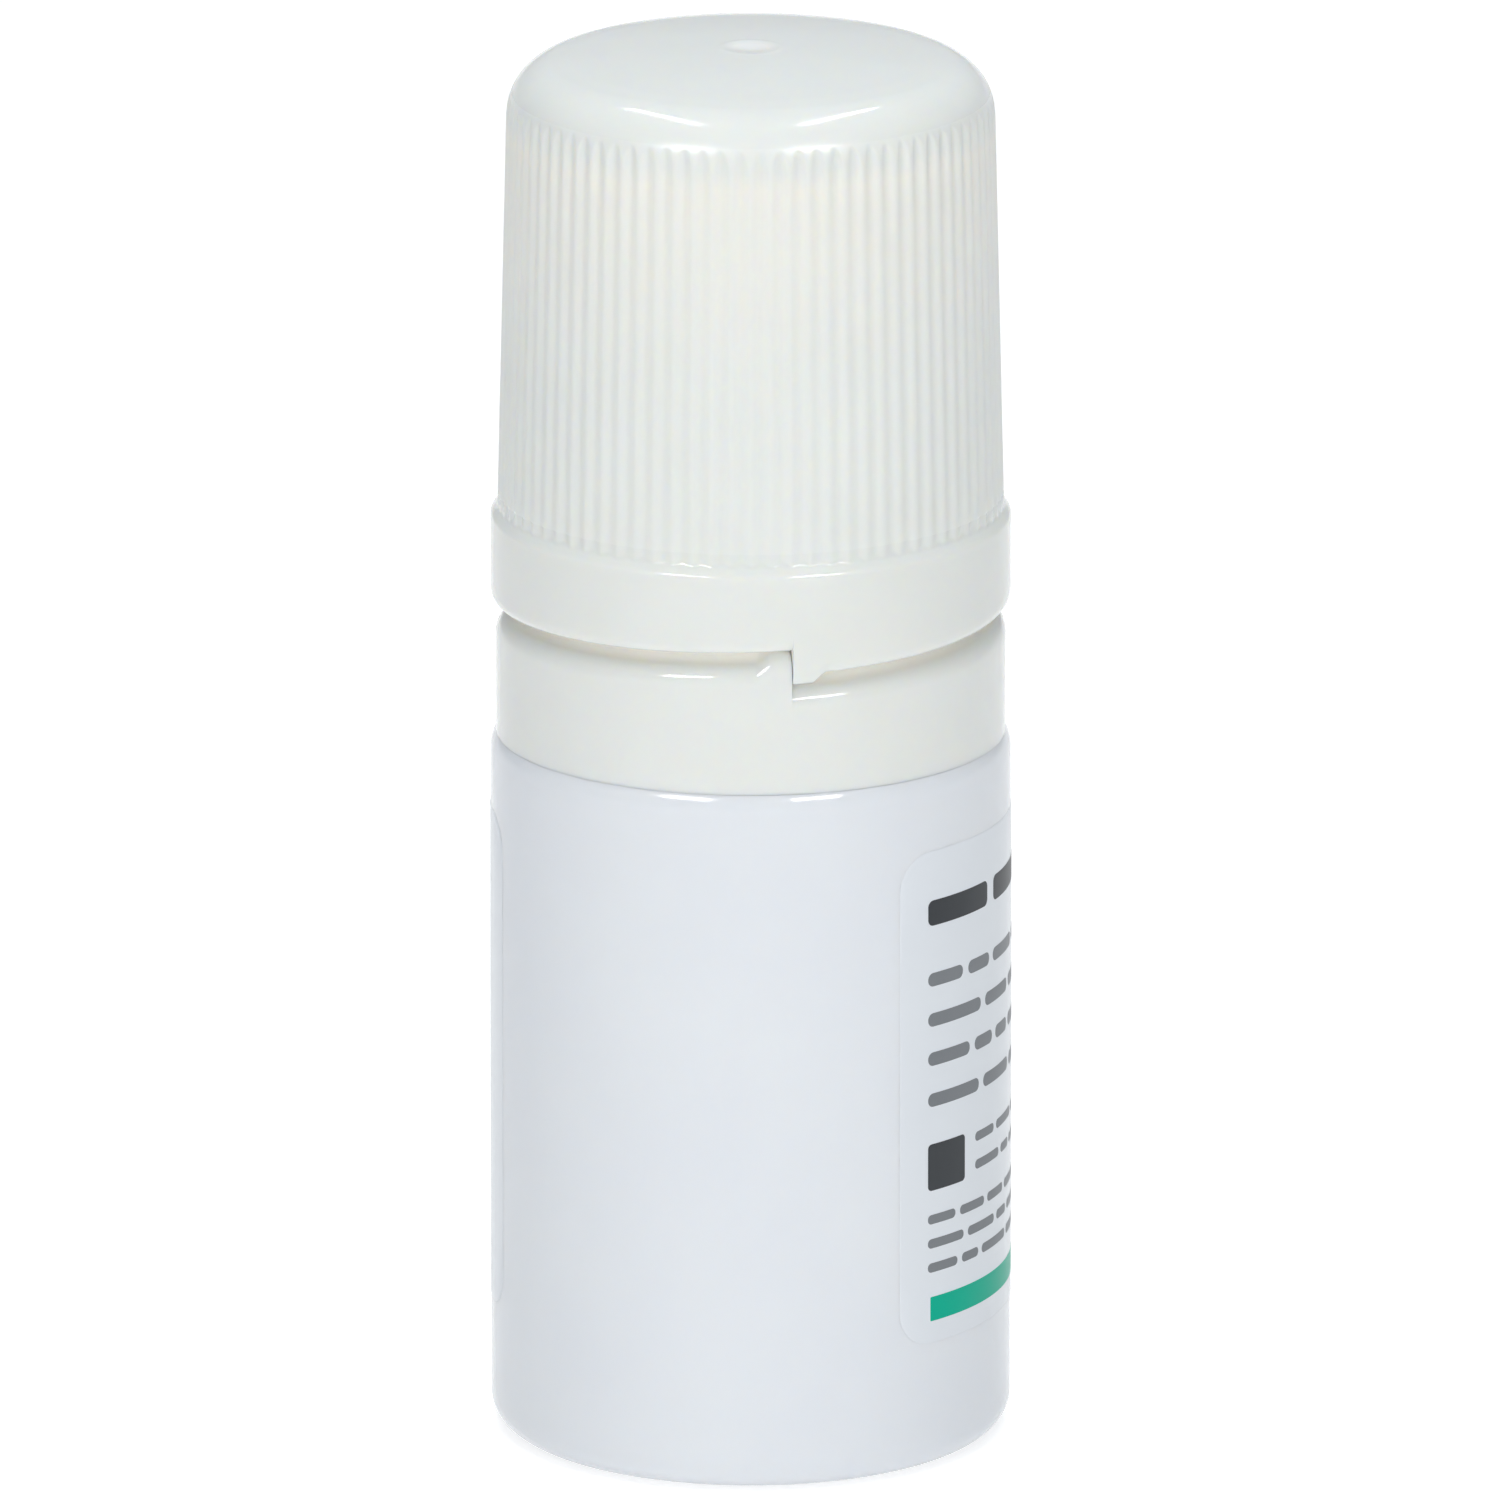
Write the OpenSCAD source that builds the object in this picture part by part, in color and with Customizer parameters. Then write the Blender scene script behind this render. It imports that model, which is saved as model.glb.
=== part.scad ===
// Multi-dose eye drop bottle with a screw cap, a clipped collar and a filtered dropper.
// The bottle stands on z = 0 with its axis on Z. Angles run anticlockwise seen from
// above, from the front (-Y) towards +X.

/* [Bottle] */
// Radius of the bottle near its base
bottle_r = 13.5; // [13.4:0.02:13.5]
// Radius of the bottle just under its shoulder
bottle_top_r = 13.45; // [13.4:0.01:13.48]
// Wall thickness of the bottle
bottle_wall = 1.05; // [0.9:0.05:1.2]
// Radius of the rounding round the base
base_round = 1.7; // [1.2:0.1:2.2]
// Depth of the hollow in the underside of the base
base_hollow = 0.8; // [0.4:0.1:1.0]
// Height at which the side turns into the shoulder
shoulder_z = 36.3; // [36:0.1:36.5]
// Height of the ledge that carries the collar
ledge_z = 37.3; // [37.2:0.05:37.4]
// Outer radius of the neck
neck_r = 9; // [8.9:0.05:9]
// Radius of the neck's bore
neck_bore_r = 7.6; // [7.58:0.01:7.62]
// Height of the neck's rim
neck_top_z = 40.1; // [40:0.02:40.1]

/* [Label] */
// Thickness of the label
label_t = 0.08; // [0.05:0.01:0.12]
// Angle at which the label starts
label_start = 34.6; // [20:0.2:60]
// Angle that the label covers
label_sweep = 253.6; // [200:0.2:280]
// Height of the label's lower edge
label_low = 7; // [4:0.1:10]
// Height of the label's upper edge
label_high = 33.4; // [28:0.1:35]
// Radius of the label's corners
label_corner = 2; // [1:0.1:4]

/* [Collar] */
// Outer radius of the collar
collar_r = 13.17; // [13.1:0.01:13.2]
// Wall thickness of the collar
collar_wall = 1.25; // [1.1:0.05:1.35]
// Top of the collar's deck
deck_z = 42.3; // [42.2:0.05:42.4]
// Root radius of the threaded spout
spout_r = 8.1; // [8:0.05:8.15]
// Bore radius of the spout
spout_bore_r = 6.7; // [6.68:0.01:6.75]
// Top of the spout
spout_top_z = 53; // [51:0.5:53.5]
// Outer radius of the ring that stands on the deck behind the mouth's gap
upstand_r = 12.08; // [12:0.01:12.1]
// Top of that ring
upstand_top_z = 46.2; // [45.8:0.1:47]

/* [Cap] */
// Radius of the plain band round the cap's mouth
band_r = 13.43; // [13.38:0.01:13.45]
// Height at which the band's top edge starts to round over
band_top_z = 48.85; // [48.6:0.05:49.2]
// Height of the crown's centre
cap_top_z = 73.5; // [73.2:0.1:74]
// Radius over the ribs at their feet
rib_foot_r = 13.08; // [13:0.01:13.12]
// Radius over the ribs at their tops
rib_head_r = 12.55; // [12.5:0.01:12.6]
// Number of ribs
ribs = 80; // [60:2:84]
// Depth of the grooves between the ribs
groove = 0.2; // [0.15:0.01:0.25]
// Radius of the dome's edge
dome_round = 2.84; // [2.6:0.02:3]
// Inner radius of the threaded sleeve
sleeve_r = 8.85; // [8.8:0.01:8.9]

/* [Helical mouth] */
// Lowest height of the cap's edge, beside its tooth
edge_low = 43.58; // [43.5:0.02:43.64]
// Rise of the edge over each half turn
edge_rise = 1.3; // [1.2:0.02:1.36]
// Gap between the cap's edge and the collar's rim
mouth_gap = 0.62; // [0.55:0.01:0.66]
// Angle of the stop wall from the front
stop_angle = 9.3; // [0:0.1:30]
// Angle that each tooth covers at its full height
tooth_angle = 4.4; // [3.5:0.1:5.5]
// Further angle over which a tooth's slope runs out
tooth_slope = 3.9; // [3:0.1:6]

/* [Dropper] */
// Height of the dropper's outlet
tip_z = 63.6; // [63.2:0.1:64]
// Radius of the outlet's rounded lip
tip_r = 2.3; // [2.2:0.05:2.4]
// Radius of the drop channel
channel_r = 1.2; // [0.8:0.1:1.4]
// Radius of the outlet
outlet_r = 0.4; // [0.3:0.05:0.6]

/* [Hidden] */
$fn = 96;

// Small gaps between fitted pieces, and the overlap of cutters
fit = 0.05;
over = 1;

// How far the label stands off the body, and its corners' round past its edges
label_lift = 0.01;
corner_play = 0.03;

// Two like halves make up the collar's rim and the cap's edge
starts = 2;
half_turn = 180;
stop_play = 0.22;
mouth_step = 5;
corner_step = 1;
tooth_gap = 0.1;
mouth_in_r = 10.6;
mouth_out_r = 14.6;

// The rounding of the cap's edge and of the collar's rim, as [inward, along the axis]
edge_round = [[-0.3, 1.15], [0.03, 0.62], [0.16, 0.3], [0.36, 0.09], [0.62, 0]];
rim_round = [[-0.25, 1.7], [0.02, 0.88], [0.13, 0.5], [0.36, 0.2], [0.66, 0.04], [0.95, 0]];

// Shoulder, foot and insides of the bottle
shoulder_r = 1.93;
foot_w = 1.2;
foot_slope = 1;
foot_dip = 0.15;
inner_round = 1;
inner_shoulder_r = 1.55;
inner_shoulder_drop = 1.3;
inner_shoulder_turn = 75;
neck_bore_z = 36.9;

// Neck of the bottle, with the bead that the collar catches on
neck_foot_r = 11;
neck_foot_z = 37.9;
bead_r = 9.6;
bead_low_z = 38.85;
bead_high_z = 39.75;
bead_under = 0.25;
bead_lead = 0.4;

// Deck, catch ring, ring behind the gap, and rim of the collar
deck_t = 1.1;
catch_in_r = 9.7;
catch_out_r = 10.7;
catch_low_z = 38.2;
catch_lip_t = 0.55;
catch_lead = 0.15;
catch_chamfer = 0.3;
lip_r = neck_r + 0.1;
rim_room_z = 45.2;
upstand_wall = 1;
upstand_chamfer = 0.15;
spout_foot = 0.3;
spout_chamfer = 0.35;
spout_bevel = 0.2;

// Outside of the cap
cap_low_z = 42.7;
band_round_z = 1;
rib_r = 0.36;
rib_top_z = 70.5;
rib_end = 0.25;
rib_sink = 0.03;
dome_start_z = 70;
dome_start_turn = 14;
crown_r = 78;
crown_lean = 7.2;
gate_r = 1.5;
gate_depth = 0.4;
gate_slope = 0.4;
nub_r = 0.45;
nub_h = 0.2;

// Inner walls of the cap
band_wall = 1.2;
skirt_wall = 1.05;
band_room_z = band_top_z - 0.4;
skirt_room_z = band_top_z + 0.8;
ceiling_z = 71.7;
ceiling_round = 1.6;
sleeve_wall = 1;
sleeve_low_z = 43.5;
socket_r = 3.3;
socket_wall = 0.9;
socket_low_z = 62.6;
draft = 0.12;
tube_chamfer = 0.2;
tube_root = 0.3;

// Filter housing, pad and membrane in the neck
grid_t = 1;
grid_top_z = neck_top_z;
grid_seat_z = grid_top_z + 0.02;
flange_top_z = deck_z - deck_t - fit;
flange_r = neck_r + fit;
seat_r = 7.35;
plug_low_z = 34.4;
plug_wall = 1.1;
plug_lip = 0.7;
plug_lead = 0.4;
plug_lead_z = 0.5;
lip_dip = 0.15;
pad_low_z = 35;
pad_chamfer = 0.3;
membrane_low_z = grid_top_z + 0.03;
membrane_t = 0.17;

// Flow holes of the grid, as rings of [radius, count, hole radius]
grid_rings = [[0, 1, 0.9], [2.7, 6, 0.8], [5, 12, 0.7]];

// Shape of the dropper
dropper_low_z = grid_top_z + membrane_t + 0.06;
barrel_r = spout_bore_r - 0.1;
barrel_top_z = spout_top_z + 0.3;
barrel_turn = 60;
stem_r = 3.4;
stem_z = 57;
stem_start_r = stem_r - 0.2;
stem_foot = [[0.55, -0.12], [0.12, 0.5], [-0.1, 1.4]];
chamber_r = 5.4;
chamber_top_z = 52.5;
funnel_w = 0.4;
funnel_h = 1.2;
channel_top_z = tip_z - 1.6;
outlet_low_z = tip_z - 1.1;
outlet_high_z = tip_z - 0.35;
outlet_flare = 0.4;
tip_round = 0.75;

// Shape of the seal plug
tip_play = 0.06;
seal_low_z = 62.45;
seal_top_z = ceiling_z - 1.2;
seal_chamfer = 0.4;
seal_lip = 0.2;
pin_h = 0.25;
pin_play = 0.12;
pin_foot = 0.1;

// Points of an arc about [x, y], from angle a to angle b
function arc(x, y, r, a, b, n) = [
    for (i = [0 : n]) let (t = a + (b - a) * i / n) [x + r * cos(t), y + r * sin(t)]
];

// Height of the plain helix, at u degrees past a stop wall
function helix(u) = edge_rise * u / half_turn;

// Height of the cap's edge: a tooth, its slope, then the helix
function cap_edge(u) =
    let (full = edge_low + helix(u), low = edge_low - mouth_gap + tooth_gap + helix(u))
    u <= tooth_angle ? low
    : u >= tooth_angle + tooth_slope ? full
    : low + (full - low) * (u - tooth_angle) / tooth_slope;

// Height of the collar's rim: the helix, a slope, then a tooth that fills the gap
function collar_rim(u) =
    let (low = edge_low - mouth_gap + helix(u), full = edge_low - tooth_gap + helix(u))
    let (back = half_turn - u)
    back <= tooth_angle ? full
    : back >= tooth_angle + tooth_slope ? low
    : full - (full - low) * (back - tooth_angle) / tooth_slope;

// Angles at which the mouth's sections stand, with the corners of the teeth
function mouth_angles(a, b) = [
    a,
    for (u = [mouth_step : mouth_step : half_turn - mouth_step]) u,
    b
];
function with_corners(list, corners) = [
    for (u = list) if (min([for (c = corners) abs(u - c)]) > corner_step) u,
    for (c = corners) c
];
function sorted(list) = len(list) < 2 ? list :
    let (first = min(list))
    concat([first], sorted([for (x = list) if (x > first) x]));

// A solid swept round the axis: one section of points [r, z] at each angle. The first
// point of a section sees all the others, so its ends are fans of triangles.
module swept(sections, angles) {
    n = len(sections[0]);
    m = len(sections);
    points = [
        for (k = [0 : m - 1]) for (p = sections[k])
            [p[0] * sin(angles[k]), -p[0] * cos(angles[k]), p[1]]
    ];
    sides = [
        for (k = [0 : m - 2]) for (i = [0 : n - 1])
            let (a = k * n + i, b = k * n + (i + 1) % n)
            each [[a, b, b + n], [a, b + n, a + n]]
    ];
    end = (m - 1) * n;
    first = [for (i = [1 : n - 2]) [0, i + 1, i]];
    last = [for (i = [1 : n - 2]) [end, end + i, end + i + 1]];
    polyhedron(points, concat(sides, first, last), convexity = 8);
}

// Section of the space under the cap's edge
function below_edge(z) = concat(
    [[mouth_out_r, cap_low_z - over], [mouth_out_r, z + edge_round[0][1]]],
    [for (p = edge_round) [band_r - p[0], z + p[1]]],
    [[mouth_in_r, z], [mouth_in_r, cap_low_z - over]]
);

// Section of the space over the collar's rim
function above_rim(z) = concat(
    [[mouth_out_r, rim_room_z + over], [mouth_in_r, rim_room_z + over], [mouth_in_r, z]],
    [for (i = [len(rim_round) - 1 : -1 : 0])
        [collar_r - rim_round[i][0], z - rim_round[i][1]]],
    [[mouth_out_r, z - rim_round[0][1]]]
);

// What is cut from a plain mouth to leave the cap's helical edge
module edge_cutter() {
    corners = [tooth_angle, tooth_angle + tooth_slope];
    angles = sorted(with_corners(mouth_angles(0, half_turn + stop_play), corners));
    for (k = [0 : starts - 1])
        rotate([0, 0, stop_angle + k * half_turn])
        swept([for (u = angles) below_edge(cap_edge(min(u, half_turn)))], angles);
}

// What is cut from a plain wall to leave the collar's helical rim
module rim_cutter() {
    corners = [
        half_turn - tooth_angle - tooth_slope, half_turn - tooth_angle
    ];
    angles = sorted(with_corners(mouth_angles(-stop_play, half_turn), corners));
    for (k = [0 : starts - 1])
        rotate([0, 0, stop_angle + k * half_turn])
        swept([for (u = angles) above_rim(collar_rim(max(u, 0)))], angles);
}

// Blown body with a rounded base, a ledge for the collar and a neck with a catch bead
module bottle() {
    corner_x = bottle_r - base_round;
    foot_x = corner_x - foot_w;
    shoulder_x = bottle_top_r - shoulder_r;
    lean = acos((collar_r - shoulder_x) / shoulder_r);
    inner_r = bottle_r - bottle_wall;
    floor_z = base_hollow + bottle_wall;
    inner_x = inner_r - inner_shoulder_r - fit;
    outside = concat(
        [[0, base_hollow], [foot_x - foot_slope, base_hollow - foot_dip], [foot_x, 0]],
        arc(corner_x, base_round, base_round, -90, 0, 8),
        arc(shoulder_x, shoulder_z, shoulder_r, 0, lean, 5),
        [[collar_r - fit, ledge_z], [neck_foot_r, ledge_z], [neck_r, neck_foot_z]],
        [[neck_r, bead_low_z], [bead_r, bead_low_z + bead_under]],
        [[bead_r, bead_high_z - bead_lead], [neck_r, bead_high_z]],
        [[neck_r, neck_top_z], [0, neck_top_z]]
    );
    inside = concat(
        [[0, floor_z], [foot_x - foot_slope, floor_z - foot_dip], [foot_x, floor_z]],
        arc(inner_r - inner_round, floor_z + inner_round, inner_round, -90, 0, 5),
        arc(inner_x, shoulder_z - inner_shoulder_drop, inner_shoulder_r, 0,
            inner_shoulder_turn, 5),
        [[neck_bore_r, neck_bore_z], [neck_bore_r, neck_top_z + over]],
        [[0, neck_top_z + over]]
    );
    color("aliceblue")
    difference() {
        rotate_extrude() polygon(outside);
        rotate_extrude() polygon(inside);
    }
}

// Printed film round the body, with rounded corners and a gap at the front
module label() {
    inner_r = bottle_r + label_lift;
    corner_turn = label_corner / inner_r * 180 / PI;
    color("white")
    difference() {
        rotate([0, 0, label_start - 90])
        rotate_extrude(angle = label_sweep)
        translate([inner_r, label_low]) square([label_t, label_high - label_low]);
        for (side = [-1, 1]) for (end = [-1, 1])
            rotate([0, 0, label_start + (side < 0 ? corner_turn : label_sweep - corner_turn)])
            translate([0, -inner_r, end < 0 ? label_low + label_corner
                : label_high - label_corner])
            label_corner_cutter(side, end);
    }
}

// Square corner less a round one that runs a little past the label's edges, seen along
// the radius
module label_corner_cutter(side, end) {
    size = 2 * label_corner;
    difference() {
        translate([side > 0 ? 0 : -size, -over, end > 0 ? 0 : -size])
        cube([size, 2 * over, size]);
        rotate([90, 0, 0])
        cylinder(r = label_corner + corner_play, h = 6 * over, center = true);
    }
}

// Clipped collar: skirt with a helical rim, deck, catch ring, spout and a ring that
// stands behind the gap at the mouth
module collar() {
    deck_low = deck_z - deck_t;
    inner_r = collar_r - collar_wall;
    lip_z = catch_low_z + catch_lip_t;
    section = [
        [collar_r, ledge_z + fit], [collar_r, rim_room_z], [inner_r, rim_room_z],
        [inner_r, deck_z], [spout_r + spout_foot, deck_z], [spout_r, deck_z + spout_foot],
        [spout_r, spout_top_z - spout_chamfer], [spout_r - spout_chamfer, spout_top_z],
        [spout_bore_r + spout_bevel, spout_top_z], [spout_bore_r, spout_top_z - spout_bevel],
        [spout_bore_r, deck_low], [catch_in_r, deck_low], [catch_in_r, lip_z],
        [lip_r, lip_z - catch_lead], [lip_r, catch_low_z],
        [catch_out_r - catch_chamfer, catch_low_z], [catch_out_r, lip_z],
        [catch_out_r, deck_low], [inner_r, deck_low], [inner_r, ledge_z + fit]
    ];
    color("ivory")
    union() {
        difference() {
            rotate_extrude() polygon(section);
            rim_cutter();
        }
        upstand();
    }
}

// Ring that stands on the collar's deck, just inside the cap's mouth
module upstand() {
    inner_r = upstand_r - upstand_wall;
    rotate_extrude()
    polygon([
        [inner_r, deck_z - deck_t / 2], [upstand_r, deck_z - deck_t / 2],
        [upstand_r, upstand_top_z - upstand_chamfer],
        [upstand_r - upstand_chamfer, upstand_top_z],
        [inner_r + upstand_chamfer, upstand_top_z],
        [inner_r, upstand_top_z - upstand_chamfer]
    ]);
}

// Plug in the neck that carries the pad from below and the membrane on its grid
module filter_housing() {
    plug_r = neck_bore_r - fit;
    inner_r = plug_r - plug_wall;
    lip_in_r = inner_r - plug_lip;
    grid_low_z = grid_top_z - grid_t;
    section = [
        [0, grid_low_z], [inner_r, grid_low_z], [inner_r, pad_low_z - fit],
        [lip_in_r, pad_low_z - fit - lip_dip], [lip_in_r, plug_low_z],
        [plug_r - plug_lead, plug_low_z], [plug_r, plug_low_z + plug_lead_z],
        [plug_r, neck_top_z + fit], [flange_r, neck_top_z + fit],
        [flange_r, flange_top_z], [seat_r, flange_top_z], [seat_r, grid_seat_z],
        [0, grid_seat_z]
    ];
    color("whitesmoke")
    difference() {
        rotate_extrude() polygon(section);
        for (ring = grid_rings) grid_holes(ring[0], ring[1], ring[2]);
    }
}

// A ring of flow holes through the grid
module grid_holes(ring_r, count, hole_r) {
    for (i = [0 : count - 1])
        rotate([0, 0, i * 360 / count])
        translate([ring_r, 0, grid_top_z - grid_t - over / 2])
        cylinder(r = hole_r, h = grid_t + over, $fn = 24);
}

// Porous pad that steadies the flow below the grid
module porous_pad() {
    pad_r = neck_bore_r - plug_wall - 2 * fit;
    pad_top_z = grid_top_z - grid_t - fit;
    color("white")
    rotate_extrude()
    polygon([
        [0, pad_low_z], [pad_r - pad_chamfer, pad_low_z], [pad_r, pad_low_z + pad_chamfer],
        [pad_r, pad_top_z - pad_chamfer], [pad_r - pad_chamfer, pad_top_z], [0, pad_top_z]
    ]);
}

// Sterile filter disc, held down at its edge by the dropper's flange
module filter_membrane() {
    color("white")
    translate([0, 0, membrane_low_z])
    cylinder(r = seat_r - fit, h = membrane_t);
}

// Dropper: flange, barrel in the spout, round shoulder, slim stem and outlet
module dropper_tip() {
    outside = concat(
        [[0, dropper_low_z], [seat_r - fit, dropper_low_z], [seat_r - fit, flange_top_z]],
        [[barrel_r, flange_top_z]],
        [for (p = arc(0, 0, 1, 0, barrel_turn, 6))
            [stem_start_r + (barrel_r - stem_start_r) * p[0],
                barrel_top_z + (stem_z - barrel_top_z) * p[1]]],
        [for (p = stem_foot) [stem_r + p[0], stem_z + p[1]]],
        arc(tip_r - tip_round, tip_z - tip_round, tip_round, 0, 90, 5),
        [[0, tip_z]]
    );
    inside = [
        [0, dropper_low_z - over], [chamber_r, dropper_low_z - over],
        [chamber_r, chamber_top_z], [channel_r + funnel_w, stem_z - funnel_h],
        [channel_r, stem_z], [channel_r, channel_top_z], [outlet_r, outlet_low_z],
        [outlet_r, outlet_high_z], [outlet_r + outlet_flare, tip_z + fit],
        [outlet_r + outlet_flare, tip_z + over], [0, tip_z + over]
    ];
    color("white")
    difference() {
        rotate_extrude() polygon(outside);
        rotate_extrude() polygon(inside);
    }
}

// One rib, a round bar that leans with the wall
module rib() {
    height = rib_top_z - band_top_z;
    lean = atan((rib_foot_r - rib_head_r) / height);
    translate([rib_foot_r - rib_r, 0, band_top_z])
    rotate([0, -lean, 0])
    cylinder(r = rib_r, h = height / cos(lean), $fn = 24);
}

// Shell of the cap before its mouth is cut: band, wall, dome, sleeve and socket
module cap_blank() {
    foot_r = rib_foot_r - groove;
    head_r = rib_head_r - groove;
    wall_r = head_r - skirt_wall;
    gate_z = cap_top_z - gate_depth;
    outside = concat(
        [[0, cap_low_z], [band_r, cap_low_z]],
        [for (p = arc(0, 0, 1, 0, 90, 6))
            [foot_r + (band_r - foot_r) * p[0], band_top_z + band_round_z * p[1]]],
        [[head_r, rib_top_z - rib_end], [rib_head_r - rib_sink, rib_top_z]],
        arc(rib_head_r - dome_round, dome_start_z, dome_round, dome_start_turn,
            90 - crown_lean, 9),
        arc(0, cap_top_z - crown_r, crown_r, 90 - crown_lean, 90, 5)
    );
    room = concat(
        [[0, cap_low_z - over], [band_r - band_wall, cap_low_z - over]],
        [[band_r - band_wall, band_room_z], [foot_r - skirt_wall, skirt_room_z]],
        arc(wall_r - ceiling_round, ceiling_z - ceiling_round, ceiling_round, 0, 90, 5),
        [[0, ceiling_z]]
    );
    difference() {
        rotate_extrude() polygon(outside);
        rotate_extrude() polygon(room);
        translate([0, 0, gate_z])
        cylinder(r1 = gate_r - gate_slope, r2 = gate_r + fit, h = gate_depth + fit);
    }
    translate([0, 0, gate_z - nub_h / 2]) cylinder(r = nub_r, h = 1.5 * nub_h);
    cap_tube(sleeve_r, sleeve_r + sleeve_wall, sleeve_low_z);
    cap_tube(socket_r, socket_r + socket_wall, socket_low_z);
}

// A wall that hangs from the cap's ceiling, with a little draft and a chamfered mouth
module cap_tube(in_r, out_r, low_z) {
    top_z = ceiling_z + tube_root;
    rotate_extrude()
    polygon([
        [in_r + tube_chamfer, low_z], [out_r - tube_chamfer, low_z],
        [out_r, low_z + 2 * tube_chamfer], [out_r + draft, top_z], [in_r, top_z],
        [in_r, low_z + 2 * tube_chamfer]
    ]);
}

// Ribbed screw cap with a domed top, a helical mouth and its inner walls
module cap() {
    color("ivory")
    difference() {
        union() {
            cap_blank();
            for (i = [0 : ribs - 1]) rotate([0, 0, i * 360 / ribs]) rib();
        }
        edge_cutter();
    }
}

// Soft plug in the cap's socket that closes the outlet
module tip_seal() {
    plug_r = socket_r - fit;
    roof_z = tip_z + tip_play;
    pin_z = roof_z - pin_h;
    color("gainsboro")
    rotate_extrude()
    polygon(concat(
        [[0, pin_z], [outlet_r - pin_play, pin_z], [outlet_r + pin_foot, roof_z]],
        arc(tip_r - tip_round, tip_z - tip_round, tip_round + tip_play, 90, 0, 5),
        [[tip_r + seal_lip, seal_low_z], [plug_r, seal_low_z]],
        [[plug_r, seal_top_z - seal_chamfer], [plug_r - seal_chamfer, seal_top_z]],
        [[0, seal_top_z]]
    ));
}

bottle();
label();
collar();
filter_housing();
porous_pad();
filter_membrane();
dropper_tip();
cap();
tip_seal();
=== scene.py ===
"""Eye drop bottle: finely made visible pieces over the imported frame, with materials and light."""

import math
import random

import bpy
from mathutils import Matrix, Vector


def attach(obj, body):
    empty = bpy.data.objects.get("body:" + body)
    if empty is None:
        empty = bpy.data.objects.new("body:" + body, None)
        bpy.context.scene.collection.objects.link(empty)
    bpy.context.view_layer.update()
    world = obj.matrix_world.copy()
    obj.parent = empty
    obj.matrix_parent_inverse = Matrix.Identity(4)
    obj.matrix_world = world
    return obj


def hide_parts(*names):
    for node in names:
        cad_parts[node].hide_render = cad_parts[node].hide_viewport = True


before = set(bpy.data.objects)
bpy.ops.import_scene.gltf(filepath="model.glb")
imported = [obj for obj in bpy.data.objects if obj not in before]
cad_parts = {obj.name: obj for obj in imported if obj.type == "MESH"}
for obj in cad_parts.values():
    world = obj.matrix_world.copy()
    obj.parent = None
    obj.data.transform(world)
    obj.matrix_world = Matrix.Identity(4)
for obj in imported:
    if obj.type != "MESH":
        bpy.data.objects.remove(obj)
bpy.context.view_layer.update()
MM = 0.001

# Sizes in millimetres and angles in degrees, those of the solids or a little finer
BOTTLE_R, BOTTLE_TOP_R, BOTTLE_WALL = 13.5, 13.45, 1.05
BASE_ROUND, BASE_INNER_ROUND, BASE_HOLLOW, FOOT_WIDTH = 1.7, 1.0, 0.8, 1.2
SHOULDER_Z, SHOULDER_R, SHOULDER_INNER_R, LEDGE_Z = 36.3, 1.93, 1.55, 37.3
NECK_R, NECK_BORE_R, NECK_TOP_Z, NECK_BREAK = 9.0, 7.6, 40.1, 0.08
BEAD_R, BEAD_LOW_Z, BEAD_HIGH_Z = 9.6, 38.85, 39.75
LABEL_LIFT, LABEL_T, LABEL_EDGE = 0.003, 0.02, 0.05
LABEL_LOW, LABEL_HIGH, LABEL_CORNER = 7.0, 33.4, 2.0
LABEL_START, LABEL_SWEEP = 34.6, 253.6
COLLAR_R, COLLAR_WALL, DECK_Z, DECK_T = 13.17, 1.25, 42.3, 1.1
COLLAR_LIFT, RIM_ROUND_R, RIM_ROUND_Z = 0.002, 0.95, 1.1
UPSTAND_R, UPSTAND_WALL, UPSTAND_TOP_Z = 12.08, 1.0, 46.2
UPSTAND_ROUND, UPSTAND_INNER_ROUND, SPOUT_ROUND = 0.2, 0.15, 0.35
SPOUT_R, SPOUT_BORE_R, SPOUT_TOP_Z = 8.1, 6.7, 53.0
CATCH_IN_R, CATCH_OUT_R, CATCH_LOW_Z, CATCH_LIP_T = 9.7, 10.7, 38.2, 0.55
BAND_R, BAND_TOP_Z, BAND_ROUND_Z, BAND_WALL = 13.43, 48.8, 0.75, 1.2
CAP_TOP_Z, CROWN_R, CROWN_LEAN = 73.5, 78.0, 7.2
RIB_FOOT_R, RIB_HEAD_R, RIB_TOP_Z, RIBS = 13.08, 12.55, 70.5, 80
GROOVE, GROOVE_TOP, DEEPER_Z, DEEPER_OVER = 0.09, 0.18, 67.5, 2.5
DOME_ROUND, DOME_Z, DOME_BLEND, BAND_BLEND = 2.84, 70.0, 0.05, 0.06
GATE_RIM_R, GATE_DEPTH, GATE_LIP = 1.62, 0.14, 0.014
SLEEVE_R, SLEEVE_WALL, SLEEVE_LOW_Z, DRAFT = 8.85, 1.0, 43.5, 0.12
SOCKET_R, SOCKET_WALL, SOCKET_LOW_Z = 3.3, 0.9, 62.6
CEILING_Z, CEILING_ROUND, SKIRT_WALL = 71.7, 1.6, 1.165
EDGE_LOW, EDGE_RISE, MOUTH_GAP, TOOTH_GAP = 43.58, 1.3, 0.62, 0.1
EDGE_ROUND_R, EDGE_ROUND_Z = 0.62, 0.85
STOP_ANGLE, STOP_PLAY, TOOTH_ANGLE, TOOTH_SLOPE = 9.3, 0.05, 4.4, 3.9
STOP_ROUND, STOP_ROUND_SWEEP = 0.03, 0.3
TIP_Z, TIP_R, TIP_ROUND, TIP_PLAY = 63.6, 2.3, 0.75, 0.06
CHANNEL_R, OUTLET_R, CHAMBER_R, CHAMBER_TOP_Z = 1.2, 0.4, 5.4, 52.5
BARREL_R, STEM_R, STEM_Z, SEAT_R = 6.6, 3.4, 57.0, 7.35
SEAL_LOW_Z, SEAL_ROOM, SEAL_BREAK = 62.45, 1.2, 0.12
FIT = 0.05

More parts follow.
